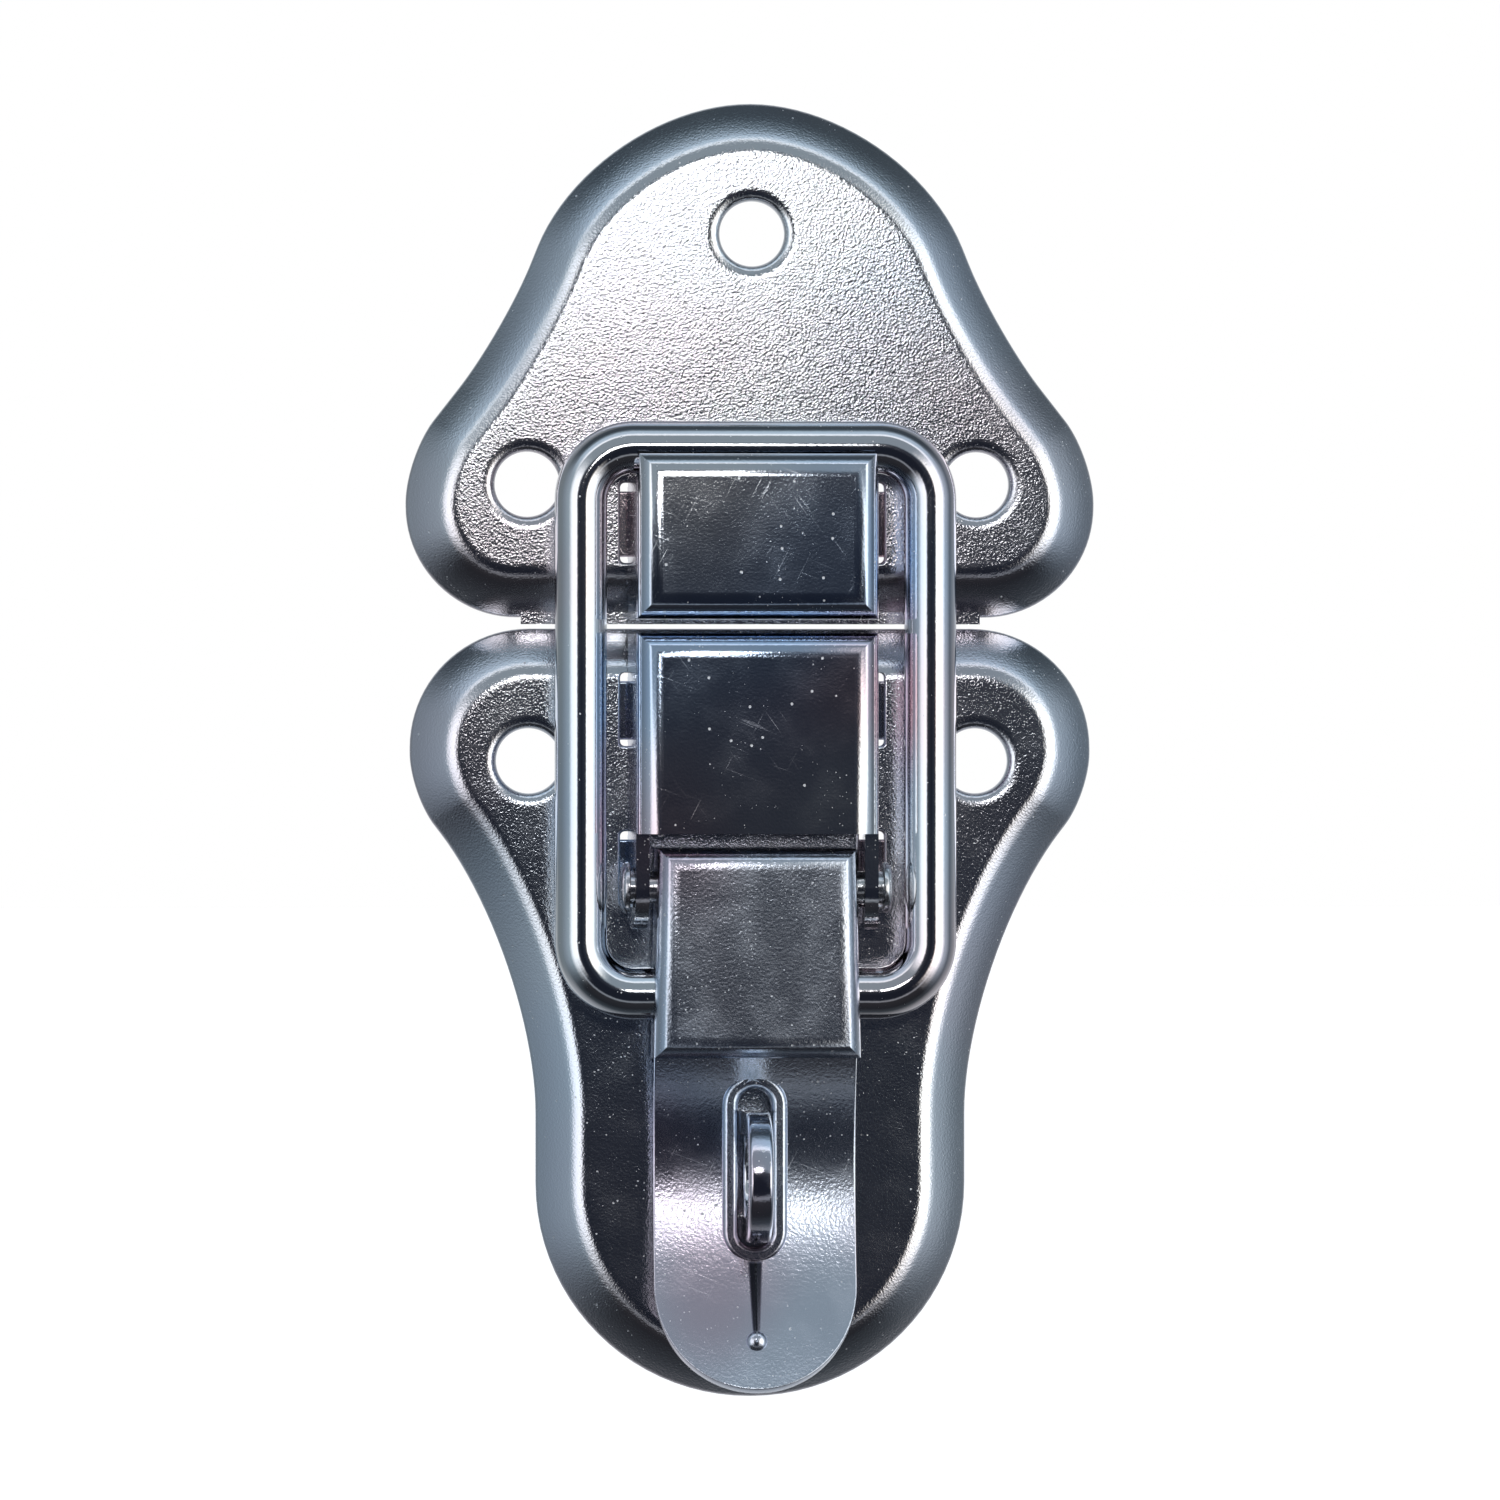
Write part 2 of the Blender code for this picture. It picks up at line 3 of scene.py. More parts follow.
import bmesh
import bpy
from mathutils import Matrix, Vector


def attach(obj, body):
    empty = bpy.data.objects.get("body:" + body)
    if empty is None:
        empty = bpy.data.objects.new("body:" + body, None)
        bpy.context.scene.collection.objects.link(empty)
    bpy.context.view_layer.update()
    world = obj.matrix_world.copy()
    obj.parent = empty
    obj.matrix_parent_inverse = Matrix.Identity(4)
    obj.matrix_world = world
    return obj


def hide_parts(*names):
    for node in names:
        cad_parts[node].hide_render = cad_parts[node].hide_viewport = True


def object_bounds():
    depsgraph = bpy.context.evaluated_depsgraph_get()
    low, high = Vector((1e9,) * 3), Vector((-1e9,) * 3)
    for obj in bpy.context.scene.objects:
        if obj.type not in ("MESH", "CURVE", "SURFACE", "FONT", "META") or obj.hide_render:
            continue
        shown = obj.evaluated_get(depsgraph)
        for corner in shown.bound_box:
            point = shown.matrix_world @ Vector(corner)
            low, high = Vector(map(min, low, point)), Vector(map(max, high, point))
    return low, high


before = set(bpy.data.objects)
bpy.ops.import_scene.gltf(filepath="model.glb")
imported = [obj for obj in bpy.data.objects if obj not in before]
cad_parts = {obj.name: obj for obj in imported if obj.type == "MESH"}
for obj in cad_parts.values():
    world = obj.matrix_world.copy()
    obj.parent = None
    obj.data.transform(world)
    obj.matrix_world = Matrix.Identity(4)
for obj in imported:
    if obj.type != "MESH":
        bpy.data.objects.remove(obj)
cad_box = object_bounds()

MM = 0.001

# Sheet, wire and clearances, as the frame has them
SHEET = 1.0 * MM
GAP = 0.3 * MM
WIRE_RADIUS = 1.925 * MM
PLATE_FRONT = 2.8 * MM
BOX_FRONT = 10.8 * MM
STAKE_BACK = 0.6 * MM
STAKE_FRONT = PLATE_FRONT - SHEET - GAP

# Corners of the plates' right halves, upwards: x, z and the radius that rounds them
BASE_CORNERS = [(15.9, -56.2, 15.8), (15.9, -23.7, 34.0), (25.2, -11.6, 8.8), (25.2, 0.575, 8.8)]
KEEPER_CORNERS = [(25.5, 1.4, 8.2), (25.5, 13.3, 10.0), (18.26, 22.57, 38.0), (11.47, 39.4, 16.9)]
SCREW_RADIUS = 2.4 * MM
BASE_SCREWS = [(-16.5, -9.2), (16.5, -9.2)]
KEEPER_SCREWS = [(-16.6, 11.2), (16.6, 11.2), (0.0, 29.7)]
BRACKET_SLOTS = [(-8.1, -2.7), (-19.8, -14.4)]
HOOK_SLOTS = [(5.4, 11.3)]
SLOT_X = (7.9, 9.75)

# Screw holes' mouths: from this depth outwards, (depth, radius) in mm
SCREW_MOUTH_START = 2.2
SCREW_MOUTH = (
    (2.3, 2.42), (2.48, 2.48), (2.64, 2.6), (2.74, 2.82), (2.785, 3.12), (2.802, 3.5), (3.6, 3.5),
)

# Pressed rim: the points its bends pass through or are drawn towards, as (inset, depth)
RIM_LAND = 0.35 * MM
RIM_FOOT = (0.22 * MM, 0.53 * MM)
RIM_BELLY = (1.2 * MM, 1.52 * MM)
RIM_SHOULDER = (2.3 * MM, 2.3 * MM)
RIM_CREST = (3.0 * MM, 2.8 * MM)
RIM_INNER = 3.8 * MM
FLAT_RING = 0.2 * MM

# Lip along the keeper plate's lower edge
LIP_X = (-17.0 * MM, 17.0 * MM)
LIP_DEPTHS = (0.06 * MM, 0.7 * MM)
LIP_Z = (0.9 * MM, 1.9 * MM)

# Boxes
BOX_HALF = 8.9 * MM
BOX_HALF_BACK = 9.2 * MM
BOX_BEND = 1.8 * MM
BRACKET_END = -14.55
EAR_RADIUS = 3.1 * MM

# Pin and the rivet heads on it: (advance, radius) of each step in mm
PIVOT_DEPTH, PIVOT_Z = 7.4 * MM, -18.5 * MM
PIN_RADIUS = 1.2 * MM
PIN_HALF = 9.3 * MM
RIVET_HEAD = (
    (0.0, 1.75), (0.06, 1.85), (0.24, 1.85), (0.16, 1.76), (0.14, 1.5), (0.1, 1.1), (0.06, 0.5),
)

# Lever's tongue; the collar and the slot as (half width, top, bottom) in mm
LEVER_STEP_Z = -31.0 * MM
TONGUE_HALF = 7.45 * MM
TONGUE_ROOT, TONGUE_LOW, TONGUE_TIP = 6.9 * MM, 5.2 * MM, 9.6 * MM
TONGUE_LOW_Z, TONGUE_END_Z = -39.0 * MM, -55.2 * MM
COLLAR = (2.4, -32.15, -46.15)
COLLAR_FRONT = 6.3 * MM
LEVER_SLOT = (1.25, -33.3, -45.0)
BEAD_TOP_Z = -46.0 * MM

# Bail, its half width and bend radius in mm
LOWER_BAR_DEPTH, LOWER_BAR_Z = 6.8 * MM, -26.3 * MM
UPPER_BAR_DEPTH, UPPER_BAR_Z = 6.9 * MM, 13.85 * MM
BAIL_HALF, BAIL_BEND = 12.85, 3.9

# Padlock eye, its outline and its hole in mm
EYE_Z = -39.7 * MM
EYE_SLOT_HALF = 2.9 * MM
EYE_FOOT, EYE_FRONT, EYE_RADIUS = 3.1, 14.4, 4.8
EYE_HOLE, EYE_HOLE_RADIUS = (5.6, 12.6), 3.0

# How close counts as the same place, and a span wider than the whole latch
TOUCH = 0.01 * MM
ACROSS = (-20 * MM, 20 * MM)


# ---- Working by hand: select, cut, round, thicken ----


def start_fresh():
    if bpy.context.object and bpy.context.object.mode != "OBJECT":
        bpy.ops.object.mode_set(mode="OBJECT")
    bpy.ops.object.select_all(action="DESELECT")


def settle(name):
    """Name the new object and put its place into its mesh."""
    piece = bpy.context.object
    piece.name = name
    piece.data.name = name
    bpy.ops.object.transform_apply(location=True, rotation=True, scale=True)
    return piece


def work_on(piece):
    start_fresh()
    bpy.context.view_layer.objects.active = piece
    piece.select_set(True)


def open_mesh(piece):
    work_on(piece)
    bpy.ops.object.mode_set(mode="EDIT")


def close_mesh():
    bpy.ops.object.mode_set(mode="OBJECT")


def middle(element):
    if isinstance(element, bmesh.types.BMVert):
        return element.co
    if isinstance(element, bmesh.types.BMEdge):
        return (element.verts[0].co + element.verts[1].co) / 2
    return element.calc_center_median()


def pick(kind, test):
    """Select the vertices, edges or faces that pass the test on their middle."""
    bpy.ops.mesh.select_mode(type=kind)
    bpy.ops.mesh.select_all(action="DESELECT")
    shape = bmesh.from_edit_mesh(bpy.context.object.data)
    elements = {"VERT": shape.verts, "EDGE": shape.edges, "FACE": shape.faces}[kind]
    for element in elements:
        if test(element, middle(element)):
            element.select_set(True)
    shape.select_flush_mode()
    bmesh.update_edit_mesh(bpy.context.object.data)


def near(a, b):
    return abs(a - b) < TOUCH


def apply_modifier(piece, kind, **settings):
    work_on(piece)
    modifier = piece.modifiers.new(kind, kind)
    for key, value in settings.items():
        setattr(modifier, key, value)
    bpy.ops.object.modifier_apply(modifier=modifier.name)


def combine(piece, tool, operation):
    apply_modifier(piece, "BOOLEAN", object=tool, operation=operation, solver="EXACT")
    bpy.data.objects.remove(tool, do_unlink=True)


def thicken(piece):
    """Give an open sheet its thickness, behind its front face."""
    apply_modifier(piece, "SOLIDIFY", thickness=SHEET, offset=-1.0, use_even_offset=True, use_rim=True)


def soften(piece, width, angle=50.0, segments=2):
    """Take the sharpness off the edges, as plating does."""
    apply_modifier(
        piece, "BEVEL", width=width, segments=segments, limit_method="ANGLE",
        angle_limit=math.radians(angle), use_clamp_overlap=True, miter_outer="MITER_ARC",
    )


def shade(piece, angle=35.0):
    """Smooth shading that keeps the flat faces flat and the mitres crisp."""
    open_mesh(piece)
    bpy.ops.mesh.select_all(action="SELECT")
    bpy.ops.mesh.remove_doubles(threshold=0.002 * MM)
    close_mesh()
    bpy.ops.object.shade_smooth_by_angle(angle=math.radians(angle))
    apply_modifier(piece, "WEIGHTED_NORMAL", mode="FACE_AREA", weight=100, keep_sharp=True)


# ---- Outlines: corners placed one by one and rounded by a vertex bevel ----


def placed(plane, point, depth):
    """A point of an outline: seen from the front it is (x, z), from the side (depth, z)."""
    if plane == "front":
        return Vector((point[0] * MM, -depth, point[1] * MM))
    return Vector((depth, -point[0] * MM, point[1] * MM))


def add_outline(plane, corners, depth, segments=14):
    """Add a loop of corners in edit mode, each given as (across, z, radius), and round it."""
    bpy.ops.mesh.primitive_circle_add(vertices=len(corners), radius=MM, location=(0, 0, 0))
    shape = bmesh.from_edit_mesh(bpy.context.object.data)
    places = [placed(plane, corner, depth) for corner in corners]
    vertex, last = next(item for item in shape.verts if item.select), None
    for place in places:
        vertex.co = place
        ends = [edge.other_vert(vertex) for edge in vertex.link_edges]
        vertex, last = next(end for end in ends if end != last), vertex
    bmesh.update_edit_mesh(bpy.context.object.data)
    for i, (_, _, radius) in enumerate(corners):
        if radius == 0:
            continue
        back = (places[i - 1] - places[i]).normalized()
        ahead = (places[(i + 1) % len(places)] - places[i]).normalized()
        reach = radius * MM / math.tan(back.angle(ahead) / 2)
        pick("VERT", lambda vertex, place: (place - places[i]).length < TOUCH)
        bpy.ops.mesh.bevel(
            affect="VERTICES", offset=reach, segments=segments, profile=0.5, clamp_overlap=False
        )
    bpy.ops.mesh.select_all(action="SELECT")
    bpy.ops.mesh.remove_doubles(threshold=3 * TOUCH)
    bpy.ops.mesh.select_all(action="DESELECT")


def new_outline(name, plane, corners, depth, segments=14):
    """A new object with one rounded outline, filled, its face towards the front or the right."""
    start_fresh()
    bpy.ops.mesh.primitive_circle_add(vertices=3, radius=MM, location=(0, 0, 0))
    piece = settle(name)
    open_mesh(piece)
    bpy.ops.mesh.delete(type="VERT")
    add_outline(plane, corners, depth, segments)
    bpy.ops.mesh.select_all(action="SELECT")
    bpy.ops.mesh.edge_face_add()
    shape = bmesh.from_edit_mesh(piece.data)
    shape.faces.ensure_lookup_table()
    shape.normal_update()
    outward = Vector((0, -1, 0)) if plane == "front" else Vector((1, 0, 0))
    if shape.faces[0].normal.dot(outward) < 0:
        bpy.ops.mesh.flip_normals()
    return piece


def mirrored(half):
    return half + [(-x, z, radius) for x, z, radius in reversed(half)]


def prism(name, plane, corners, near_side, far_side, segments=14):
    """A closed prism on a rounded outline, between two depths from the front or two x from the side."""
    low, high = sorted((near_side, far_side))
    piece = new_outline(name, plane, corners, low, segments)
    close_mesh()
    apply_modifier(piece, "SOLIDIFY", thickness=high - low, offset=1.0)
    return piece


def block(name, x_range, depth_range, z_range):
    start_fresh()
    sizes = [abs(span[1] - span[0]) for span in (x_range, depth_range, z_range)]
    place = (sum(x_range) / 2, -sum(depth_range) / 2, sum(z_range) / 2)
    bpy.ops.mesh.primitive_cube_add(size=1.0, location=place, scale=sizes)
    return settle(name)


def rod(name, radius, x_range, depth, z, vertices=48):
    start_fresh()
    bpy.ops.mesh.primitive_cylinder_add(
        vertices=vertices, radius=radius, depth=x_range[1] - x_range[0],
        location=(sum(x_range) / 2, -depth, z), rotation=(0, math.pi / 2, 0),
    )
    return settle(name)


# ---- Plates ----


def bend(corner, start, end, count):
    """Points of a smooth bend from start to end, drawn towards its corner."""
    points = []
    for i in range(count + 1):
        t = i / count
        pulls = zip(start, corner, end)
        points.append(tuple((1 - t) ** 2 * a + 2 * t * (1 - t) * c + t * t * b for a, c, b in pulls))
    return points


def rim_profile():
    """The pressed rim as (inset, depth) from its foot on the case to the flat face."""
    points = [(0.0, 0.0)]
    points += bend((0.0, RIM_LAND), (0.0, RIM_LAND - 0.2 * MM), RIM_FOOT, 4)
    points += bend(RIM_BELLY, RIM_FOOT, RIM_SHOULDER, 7)[1:]
    points += bend(RIM_CREST, RIM_SHOULDER, (RIM_INNER, PLATE_FRONT), 9)[1:]
    points.append((RIM_INNER + FLAT_RING, PLATE_FRONT))
    return points


def push_out(length):
    """Extrude the selected faces towards the front."""
    bpy.ops.mesh.extrude_region_move(TRANSFORM_OT_translate={"value": (0, -length, 0)})


def screw_punch(x, z):
    """The punch for a screw hole, opened out at its mouth where the sheet is drawn in round the hole."""
    start_fresh()
    depth, radius = SCREW_MOUTH_START, SCREW_RADIUS / MM
    bpy.ops.mesh.primitive_cylinder_add(
        vertices=64, radius=SCREW_RADIUS, depth=3.0 * MM,
        location=(x * MM, (1.5 - depth) * MM, z * MM), rotation=(math.pi / 2, 0, 0),
    )
    tool = settle("screw_punch")
    open_mesh(tool)
    pick("FACE", lambda face, place: face.normal.y < -0.9)
    for next_depth, next_radius in SCREW_MOUTH:
        push_out((next_depth - depth) * MM)
        grow = next_radius / radius
        bpy.ops.transform.resize(value=(grow, 1, grow), center_override=(x * MM, 0, z * MM))
        depth, radius = next_depth, next_radius
    close_mesh()
    return tool


def slot_punch(outline, mouth, roll, segments=6):
    """The punch for a slot, its mouth rolled open by a quarter round."""
    spans = [(min(side) * MM, max(side) * MM) for side in list(zip(*outline))[:2]]
    centre = (sum(spans[0]) / 2, 0, sum(spans[1]) / 2)
    half = [(high - low) / 2 for low, high in spans]
    tool = prism("slot_punch", "front", outline, -MM, mouth - roll, segments)
    open_mesh(tool)
    pick("FACE", lambda face, place: face.normal.y < -0.9)
    turns = [math.radians(angle) for angle in (22.5, 45, 67.5, 85)]
    rounds = [(roll * (1 - math.cos(turn)), roll * math.sin(turn)) for turn in turns]
    wide, forward = 0.0, 0.0
    for next_wide, next_forward in rounds + [(roll, roll + MM)]:
        push_out(next_forward - forward)
        grow = [(side + next_wide) / (side + wide) for side in half]
        bpy.ops.transform.resize(value=(grow[0], 1, grow[1]), center_override=centre)
        wide, forward = next_wide, next_forward
    close_mesh()
    return tool


def pressed_plate(name, corners, screws, slots):
    """A plate as the press makes it: the rim drawn down by insets, then holes and slots punched."""
    plate = new_outline(name, "front", mirrored(corners), 0.0, segments=22)
    bpy.ops.mesh.select_all(action="SELECT")
    profile = rim_profile()
    for (inset, depth), (next_inset, next_depth) in zip(profile, profile[1:]):
        step = max(next_inset - inset, 0.001 * MM)
        bpy.ops.mesh.inset(thickness=step, depth=next_depth - depth, use_even_offset=True)
    close_mesh()
    thicken(plate)
    open_mesh(plate)
    pick("VERT", lambda vertex, place: place.y > 0)
    bpy.ops.transform.resize(value=(1, 0, 1), center_override=(0, 0, 0))
    close_mesh()
    for x, z in screws:
        combine(plate, screw_punch(x, z), "DIFFERENCE")
    for outline in slots:
        combine(plate, slot_punch(outline, PLATE_FRONT, 0.22 * MM), "DIFFERENCE")
    return plate


def face_forward(piece):
    """Turn an open sheet's faces to the front if they point back."""
    largest = max(piece.data.polygons, key=lambda face: face.area)
    if largest.normal.y > 0:
        open_mesh(piece)
        bpy.ops.mesh.select_all(action="SELECT")
        bpy.ops.mesh.flip_normals()
        close_mesh()


def tab_slots(spans):
    outlines = []
    for low, high in spans:
        for side in (-1, 1):
            inner, outer = sorted((side * SLOT_X[0], side * SLOT_X[1]))
            ends = [(inner, low), (outer, low), (outer, high), (inner, high)]
            outlines.append([(x, z, 0.35) for x, z in ends])
    return outlines


def make_base_plate():
    low, high = (EYE_Z - EYE_SLOT_HALF) / MM, (EYE_Z + EYE_SLOT_HALF) / MM
    eye_slot = [(-1.2, low, 0.3), (1.2, low, 0.3), (1.2, high, 0.3), (-1.2, high, 0.3)]
    slots = tab_slots(BRACKET_SLOTS) + [eye_slot]
    return pressed_plate("base_plate_pressing", BASE_CORNERS, BASE_SCREWS, slots)


def make_keeper_plate():
    """The keeper plate, with the straight lip along its lower edge that meets the base plate."""
    slots = tab_slots(HOOK_SLOTS)
    plate = pressed_plate("keeper_plate_pressing", KEEPER_CORNERS, KEEPER_SCREWS, slots)
    combine(plate, block("lip", LIP_X, LIP_DEPTHS, LIP_Z), "UNION")
    return plate


# ---- Pressed boxes ----


def pressed_box(name, z_range, halves, depths, bend_width):
    """A tray open behind, its front edges bent over and mitred. halves: at its bottom and top."""
    half, (back, front) = max(halves), depths
    box = block(name, (-half, half), depths, z_range)
    open_mesh(box)
    pick("FACE", lambda face, place: near(place.y, -back))
    bpy.ops.mesh.delete(type="FACE")
    for level, wanted in reversed(list(zip(z_range, halves))):
        pick("VERT", lambda vertex, place: near(place.z, level))
        bpy.ops.transform.resize(value=(wanted / half, 1, 1), center_override=(0, 0, 0))
    pick("EDGE", lambda edge, place: near(place.y, -front))
    bpy.ops.mesh.bevel(offset=bend_width, segments=8, profile=0.5, clamp_overlap=False)
    pick("FACE", lambda face, place: near(place.y, -front))
    bpy.ops.mesh.inset(thickness=0.15 * MM, depth=0.0)
    close_mesh()
    return box


def flare(box, back):
    """Spread the walls a little towards the plate."""
    open_mesh(box)
    pick("VERT", lambda vertex, place: near(place.y, -back))
    bpy.ops.transform.resize(value=(BOX_HALF_BACK / BOX_HALF, 1, 1), center_override=(0, 0, 0))
    close_mesh()


def add_stakes(box, spans):
    """Tabs through the plate's slots, hammered flat behind it."""
    for low, high in spans:
        for side in (-1, 1):
            inner = BOX_HALF_BACK - SHEET + 0.05 * MM
            tab_x = sorted((side * inner, side * (BOX_HALF_BACK - 0.05 * MM)))
            tab_depths = (STAKE_FRONT - 0.1 * MM, PLATE_FRONT + SHEET)
            tab_z = (low * MM + GAP, high * MM - GAP)
            combine(box, block("tab", tab_x, tab_depths, tab_z), "UNION")
            head_x = sorted(side * (edge + over) * MM for edge, over in zip(SLOT_X, (-0.45, 0.45)))
            head_z = (low * MM + 1.5 * GAP, high * MM - 2 * GAP)
            head = block("stake", head_x, (STAKE_BACK, STAKE_FRONT), head_z)
            soften(head, 0.18 * MM, segments=3)
            combine(box, head, "UNION")


def make_keeper_hook():
    """The hook: a box cut away at the top, so that its face is a lip over the bail's upper bar."""
    back, top, bottom = PLATE_FRONT + GAP, 13.5 * MM, 1.2 * MM
    halves = (BOX_HALF, BOX_HALF)
    hook = pressed_box("keeper_hook_pressing", (bottom, top), halves, (back, BOX_FRONT), BOX_BEND)
    flare(hook, back)
    thicken(hook)
    seat = UPPER_BAR_Z - WIRE_RADIUS - GAP
    combine(hook, block("notch", ACROSS, (-MM, BOX_FRONT - SHEET), (seat, 40 * MM)), "DIFFERENCE")
    add_stakes(hook, HOOK_SLOTS)
    return hook


def make_lever_bracket():
    """The bracket: a long box whose sides are cut down to two round ears for the pivot pin."""
    back, top, long_bottom = PLATE_FRONT + GAP, 0.2 * MM, -31.0 * MM
    halves, depths = (BOX_HALF, BOX_HALF), (back, BOX_FRONT)
    bracket = pressed_box("lever_bracket_pressing", (long_bottom, top), halves, depths, BOX_BEND)
    flare(bracket, back)
    thicken(bracket)
    ear_front, ear, pivot = (BOX_FRONT - BOX_BEND) / MM, EAR_RADIUS / MM, PIVOT_Z / MM
    waste = [
        (30.0, BRACKET_END, 0), (ear_front, BRACKET_END, 0), (ear_front, pivot - ear, ear),
        (ear_front - ear, pivot - ear, 0), (-1.0, pivot - 0.6 * ear, 0),
        (-1.0, -60.0, 0), (30.0, -60.0, 0),
    ]
    combine(bracket, prism("waste", "side", waste, *ACROSS), "DIFFERENCE")
    combine(bracket, rod("drill", PIN_RADIUS + GAP, ACROSS, PIVOT_DEPTH, PIVOT_Z), "DIFFERENCE")
    add_stakes(bracket, BRACKET_SLOTS)
    return bracket


# ---- Lever ----


def tongue_depth(z):
    """Front of the tongue: down from the step to its lowest line, then curled out to the tip."""
    if z > TONGUE_LOW_Z:
        share = (z - TONGUE_LOW_Z) / (LEVER_STEP_Z - TONGUE_LOW_Z)
        return TONGUE_LOW + (TONGUE_ROOT - TONGUE_LOW) * share**2
    share = (TONGUE_LOW_Z - z) / (TONGUE_LOW_Z - TONGUE_END_Z)
    return TONGUE_LOW + (TONGUE_TIP - TONGUE_LOW) * share**1.7


def make_tongue():
    """The tongue: a flat outline cut into strips, then bent to its curve."""
    half, end, start, strips = TONGUE_HALF / MM, TONGUE_END_Z / MM, -30.3, 40
    outline = mirrored([(half, end, half - 0.05), (half, start, 0)])
    tongue = new_outline("tongue", "front", outline, 0.0, segments=28)
    for i in range(1, strips):
        z = (end + (start - end) * i / strips) * MM
        bpy.ops.mesh.select_all(action="SELECT")
        bpy.ops.mesh.bisect(plane_co=(0, 0, z), plane_no=(0, 0, 1))
    shape = bmesh.from_edit_mesh(tongue.data)
    for vertex in shape.verts:
        vertex.co.y = -tongue_depth(vertex.co.z)
    bmesh.update_edit_mesh(tongue.data)
    close_mesh()
    face_forward(tongue)
    thicken(tongue)
    soften(tongue, 0.16 * MM, angle=60.0)
    return tongue


def stadium(half, top, bottom):
    return [(half, top, half), (-half, top, half), (-half, bottom, half), (half, bottom, half)]


def make_collar():
    """The drawn collar round the slot, its front edge rolled over."""
    collar = prism("collar", "front", stadium(*COLLAR), TONGUE_LOW - 0.5 * SHEET, COLLAR_FRONT)
    open_mesh(collar)
    pick("EDGE", lambda edge, place: near(place.y, -COLLAR_FRONT))
    bpy.ops.mesh.bevel(offset=0.4 * MM, segments=5, profile=0.5)
    close_mesh()
    return collar


def make_bead():
    """A short stiffening bead that tapers towards the tip and ends in a small dome."""
    top, bottom, cuts = BEAD_TOP_Z, -51.8 * MM, 12
    bead = block("bead", (-0.72 * MM, 0.72 * MM), (-0.3 * MM, 0.55 * MM), (bottom, top))
    open_mesh(bead)
    pick("FACE", lambda face, place: face.normal.y < -0.9)
    bpy.ops.transform.resize(value=(0.12, 1, 1), center_override=(0, 0, 0))
    for i in range(1, cuts):
        bpy.ops.mesh.select_all(action="SELECT")
        bpy.ops.mesh.bisect(plane_co=(0, 0, top + (bottom - top) * i / cuts), plane_no=(0, 0, 1))
    shape = bmesh.from_edit_mesh(bead.data)
    for vertex in shape.verts:
        vertex.co.x *= 1.0 - 0.5 * (top - vertex.co.z) / (top - bottom)
        vertex.co.y -= tongue_depth(vertex.co.z)
    bmesh.update_edit_mesh(bead.data)
    close_mesh()
    start_fresh()
    bpy.ops.mesh.primitive_uv_sphere_add(
        segments=32, ring_count=16, radius=0.78 * MM, scale=(1, 0.6, 1),
        location=(0, -tongue_depth(bottom), bottom),
    )
    combine(bead, settle("dome"), "UNION")
    return bead


def make_lever():
    """The lever in one pressing: a box between the ears, and the tongue with its collared slot."""
    z_range, halves, depths = (LEVER_STEP_Z, -15.65 * MM), (7.6 * MM, 7.3 * MM), (4.2 * MM, 10.4 * MM)
    lever = pressed_box("lever_pressing", z_range, halves, depths, 1.5 * MM)
    thicken(lever)
    under = block("under", (-6.3 * MM, 6.3 * MM), (0.0, 6.1 * MM), (-32.0 * MM, -29.5 * MM))
    combine(lever, under, "DIFFERENCE")
    tongue = make_tongue()
    combine(tongue, make_collar(), "UNION")
    combine(tongue, slot_punch(stadium(*LEVER_SLOT), COLLAR_FRONT, 0.4 * MM, 12), "DIFFERENCE")
    combine(tongue, make_bead(), "UNION")
    combine(lever, tongue, "UNION")
    combine(lever, rod("drill", PIN_RADIUS + GAP, ACROSS, PIVOT_DEPTH, PIVOT_Z), "DIFFERENCE")
    wire_hole = rod("drill", WIRE_RADIUS + GAP, ACROSS, LOWER_BAR_DEPTH, LOWER_BAR_Z, 64)
    combine(lever, wire_hole, "DIFFERENCE")
    return lever


# ---- Pin, bail and eye ----


def make_pivot_pin():
    """A pin whose ends are hammered over into low domed heads."""
    span = (-PIN_HALF, PIN_HALF)
    pin = rod("pivot_pin_riveted", PIN_RADIUS, span, PIVOT_DEPTH, PIVOT_Z, 64)
    open_mesh(pin)
    for side in (-1, 1):
        radius = PIN_RADIUS
        place = Vector((side * PIN_HALF, -PIVOT_DEPTH, PIVOT_Z))
        pick("FACE", lambda face, spot: near(spot.x, place.x))
        for advance, wider in RIVET_HEAD:
            move = (side * advance * MM, 0, 0)
            bpy.ops.mesh.extrude_region_move(TRANSFORM_OT_translate={"value": move})
            place += Vector(move)
            grow = wider * MM / radius
            bpy.ops.transform.resize(value=(1, grow, grow), center_override=place)
            radius = wider * MM
    close_mesh()
    return pin


def make_bail():
    """Round wire bent to a closed loop: a rounded rectangle swept with the wire's round section."""
    low, high = LOWER_BAR_Z / MM, UPPER_BAR_Z / MM
    outline = mirrored([(BAIL_HALF, low, BAIL_BEND), (BAIL_HALF, high, BAIL_BEND)])
    bail = new_outline("bail_wire", "front", outline, LOWER_BAR_DEPTH, segments=24)
    bpy.ops.mesh.select_all(action="SELECT")
    bpy.ops.mesh.delete(type="ONLY_FACE")
    shape = bmesh.from_edit_mesh(bail.data)
    lean = (UPPER_BAR_DEPTH - LOWER_BAR_DEPTH) / (UPPER_BAR_Z - LOWER_BAR_Z)
    for vertex in shape.verts:
        vertex.co.y -= lean * (vertex.co.z - LOWER_BAR_Z)
    bmesh.update_edit_mesh(bail.data)
    close_mesh()
    bpy.ops.object.convert(target="CURVE")
    bail = bpy.context.object
    bail.data.dimensions = "3D"
    bail.data.bevel_depth = WIRE_RADIUS
    bail.data.bevel_resolution = 10
    bpy.ops.object.convert(target="MESH")
    return settle("bail_wire")


